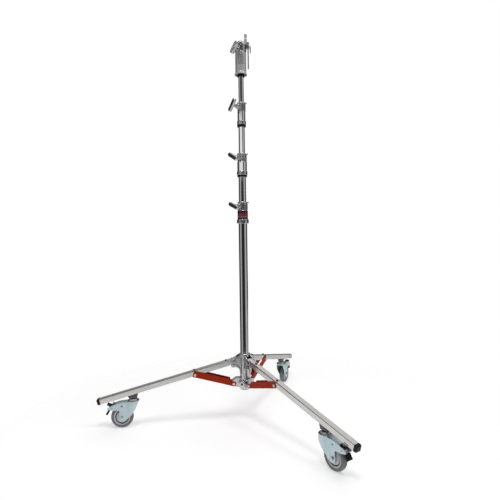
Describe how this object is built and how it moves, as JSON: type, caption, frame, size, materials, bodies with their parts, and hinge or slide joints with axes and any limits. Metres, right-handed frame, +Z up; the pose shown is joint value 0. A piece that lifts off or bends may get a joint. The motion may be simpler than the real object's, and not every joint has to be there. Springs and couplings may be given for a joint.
{
  "type": "rolling lighting stand",
  "caption": "Rolling telescopic light stand with strutted folding legs, swivelling braked casters, clamp-collar risers and a receiver head with a swing-over baby pin.",
  "frame": {"origin": "on the floor, on the column's axis, midway between the three caster wheels", "axes": "+Z up along the column; one leg points along -X and the other two stand 120 degrees either side"},
  "size_m": [1.2778, 1.4738, 2.242],
  "materials": {
    "chrome": "bright mirror plating",
    "casting": "rough sand-cast, silver-grey",
    "knob": "die-cast, satin",
    "leg": "satin nickel plate",
    "link": "brick-red powder coat",
    "zinc": "bright zinc plate",
    "fork": "blue zinc plate",
    "brake": "zinc lever with black pads",
    "wheel": "light grey moulded nylon",
    "tyre": "dark grey thermoplastic rubber",
    "black_plastic": "black moulded plastic",
    "band": "printed band, black and red, without lettering"
  },
  "bodies": {
    "column": {"base_column": "chrome", "column_plug": "black_plastic", "lower_hub": "casting", "hub_screws": "zinc", "base_collar": "casting", "base_band": "band"},
    "base_knob": {"base_knob": "knob"},
    "leg_slider": {"leg_collar": "casting", "hinge_bolts": "zinc"},
    "fold_plunger": {"fold_plunger": "knob"},
    "riser_1": {"riser_1_tube": "chrome", "riser_1_collar": "casting", "riser_1_bushes": "black_plastic"},
    "riser_1_knob": {"riser_1_knob": "knob"},
    "riser_2": {"riser_2_tube": "chrome", "riser_2_collar": "casting", "riser_2_bushes": "black_plastic"},
    "riser_2_knob": {"riser_2_knob": "knob"},
    "riser_3": {"riser_3_tube": "chrome", "riser_3_bushes": "black_plastic", "receiver_body": "casting"},
    "receiver_knob": {"receiver_knob": "knob"},
    "spigot_rod": {"spigot_rod": "zinc"},
    "spigot_arm": {"spigot_arm": "casting", "spigot_pin": "zinc"},
    "spigot_lever": {"spigot_lever": "knob"},
    "leg_1": {"leg_1_tube": "leg", "leg_1_cap": "black_plastic", "leg_1_bolts": "zinc", "leg_1_caster_mount": "zinc"},
    "link_1": {"link_1": "link", "link_1_rivets": "zinc"},
    "caster_1": {"caster_1_fork": "fork", "caster_1_axle": "zinc"},
    "wheel_1": {"caster_1_wheel": "wheel", "caster_1_tyre": "tyre"},
    "brake_1": {"caster_1_brake": "brake"},
    "leg_2": {"leg_2_tube": "leg", "leg_2_cap": "black_plastic", "leg_2_bolts": "zinc", "leg_2_caster_mount": "zinc"},
    "link_2": {"link_2": "link", "link_2_rivets": "zinc"},
    "caster_2": {"caster_2_fork": "fork", "caster_2_axle": "zinc"},
    "wheel_2": {"caster_2_wheel": "wheel", "caster_2_tyre": "tyre"},
    "brake_2": {"caster_2_brake": "brake"},
    "leg_3": {"leg_3_tube": "leg", "leg_3_cap": "black_plastic", "leg_3_bolts": "zinc", "leg_3_caster_mount": "zinc"},
    "link_3": {"link_3": "link", "link_3_rivets": "zinc"},
    "caster_3": {"caster_3_fork": "fork", "caster_3_axle": "zinc"},
    "wheel_3": {"caster_3_wheel": "wheel", "caster_3_tyre": "tyre"},
    "brake_3": {"caster_3_brake": "brake"}
  },
  "joints": [
    {"name": "riser_1_slide", "type": "slide", "parent": "column", "child": "riser_1", "axis": [0, 0, 1], "range_m": [-0.142, 0.69]},
    {"name": "riser_2_slide", "type": "slide", "parent": "riser_1", "child": "riser_2", "axis": [0, 0, 1], "range_m": [-0.15, 0.69]},
    {"name": "riser_3_slide", "type": "slide", "parent": "riser_2", "child": "riser_3", "axis": [0, 0, 1], "range_m": [-0.144, 0.69]},
    {"name": "base_knob_turn", "type": "hinge", "parent": "column", "child": "base_knob", "pos_m": [-0.03886, -0.03147, 1.251], "axis": [-0.7771, -0.6293, 0], "range_deg": [0, 270]},
    {"name": "riser_1_knob_turn", "type": "hinge", "parent": "riser_1", "child": "riser_1_knob", "pos_m": [-0.03886, -0.03147, 1.5285], "axis": [-0.7771, -0.6293, 0], "range_deg": [0, 270]},
    {"name": "riser_2_knob_turn", "type": "hinge", "parent": "riser_2", "child": "riser_2_knob", "pos_m": [-0.03886, -0.03147, 1.8155], "axis": [-0.7771, -0.6293, 0], "range_deg": [0, 270]},
    {"name": "receiver_knob_turn", "type": "hinge", "parent": "riser_3", "child": "receiver_knob", "pos_m": [-0.03009, -0.03993, 2.131], "axis": [-0.6018, -0.7986, 0], "range_deg": [0, 270]},
    {"name": "spigot_rod_slide", "type": "slide", "parent": "riser_3", "child": "spigot_rod", "axis": [0, 0, 1], "range_m": [0, 0.06]},
    {"name": "spigot_swing", "type": "hinge", "parent": "spigot_rod", "child": "spigot_arm", "pos_m": [0.04271, -0.00502, 2.173], "axis": [0, 0, 1], "range_deg": [-190, 0]},
    {"name": "spigot_lever_turn", "type": "hinge", "parent": "riser_3", "child": "spigot_lever", "pos_m": [0.04271, -0.00502, 2.155], "axis": [0.9932, -0.1167, 0], "range_deg": [0, 120]},
    {"name": "leg_fold", "type": "slide", "parent": "column", "child": "leg_slider", "axis": [0, 0, 1], "range_m": [0, 0.3226]},
    {"name": "fold_release", "type": "slide", "parent": "leg_slider", "child": "fold_plunger", "axis": [1, 0, 0], "range_m": [0, 0.008], "stiffness_N_per_m": 500, "springref_m": -0.004},
    {"name": "leg_1_hinge", "type": "hinge", "parent": "leg_slider", "child": "leg_1", "pos_m": [-0.062, 0, 0.3514], "axis": [0, -1, 0], "range_deg": [0, 58.01]},
    {"name": "link_1_hinge", "type": "hinge", "parent": "column", "child": "link_1", "pos_m": [-0.067, 0, 0.22], "axis": [0, 1, 0], "range_deg": [0, 59.79]},
    {"name": "caster_1_swivel", "type": "hinge", "parent": "leg_1", "child": "caster_1", "pos_m": [-0.642, 0, 0.147], "axis": [0, 0, 1], "continuous": true},
    {"name": "wheel_1_spin", "type": "hinge", "parent": "caster_1", "child": "wheel_1", "pos_m": [-0.704, 0, 0.0625], "axis": [0, -1, 0], "continuous": true},
    {"name": "brake_1_press", "type": "hinge", "parent": "caster_1", "child": "brake_1", "pos_m": [-0.76, 0, 0.119], "axis": [0, -1, 0], "range_deg": [0, 12]},
    {"name": "leg_2_hinge", "type": "hinge", "parent": "leg_slider", "child": "leg_2", "pos_m": [0.031, -0.05369, 0.3514], "axis": [0.866, 0.5, 0], "range_deg": [0, 58.01]},
    {"name": "link_2_hinge", "type": "hinge", "parent": "column", "child": "link_2", "pos_m": [0.0335, -0.05802, 0.22], "axis": [-0.866, -0.5, 0], "range_deg": [0, 59.79]},
    {"name": "caster_2_swivel", "type": "hinge", "parent": "leg_2", "child": "caster_2", "pos_m": [0.321, -0.55599, 0.147], "axis": [0, 0, 1], "continuous": true},
    {"name": "wheel_2_spin", "type": "hinge", "parent": "caster_2", "child": "wheel_2", "pos_m": [0.352, -0.60968, 0.0625], "axis": [0.866, 0.5, 0], "continuous": true},
    {"name": "brake_2_press", "type": "hinge", "parent": "caster_2", "child": "brake_2", "pos_m": [0.38, -0.65818, 0.119], "axis": [0.866, 0.5, 0], "range_deg": [0, 12]},
    {"name": "leg_3_hinge", "type": "hinge", "parent": "leg_slider", "child": "leg_3", "pos_m": [0.031, 0.05369, 0.3514], "axis": [-0.866, 0.5, 0], "range_deg": [0, 58.01]},
    {"name": "link_3_hinge", "type": "hinge", "parent": "column", "child": "link_3", "pos_m": [0.0335, 0.05802, 0.22], "axis": [0.866, -0.5, 0], "range_deg": [0, 59.79]},
    {"name": "caster_3_swivel", "type": "hinge", "parent": "leg_3", "child": "caster_3", "pos_m": [0.321, 0.55599, 0.147], "axis": [0, 0, 1], "continuous": true},
    {"name": "wheel_3_spin", "type": "hinge", "parent": "caster_3", "child": "wheel_3", "pos_m": [0.352, 0.60968, 0.0625], "axis": [-0.866, 0.5, 0], "continuous": true},
    {"name": "brake_3_press", "type": "hinge", "parent": "caster_3", "child": "brake_3", "pos_m": [0.38, 0.65818, 0.119], "axis": [-0.866, 0.5, 0], "range_deg": [0, 12]}
  ],
  "couplings": [
    {"joint": "leg_1_hinge", "follows": "leg_fold", "rad_per_m": 3.1379},
    {"joint": "link_1_hinge", "follows": "leg_fold", "rad_per_m": 3.234},
    {"joint": "leg_2_hinge", "follows": "leg_fold", "rad_per_m": 3.1379},
    {"joint": "link_2_hinge", "follows": "leg_fold", "rad_per_m": 3.234},
    {"joint": "leg_3_hinge", "follows": "leg_fold", "rad_per_m": 3.1379},
    {"joint": "link_3_hinge", "follows": "leg_fold", "rad_per_m": 3.234}
  ]
}
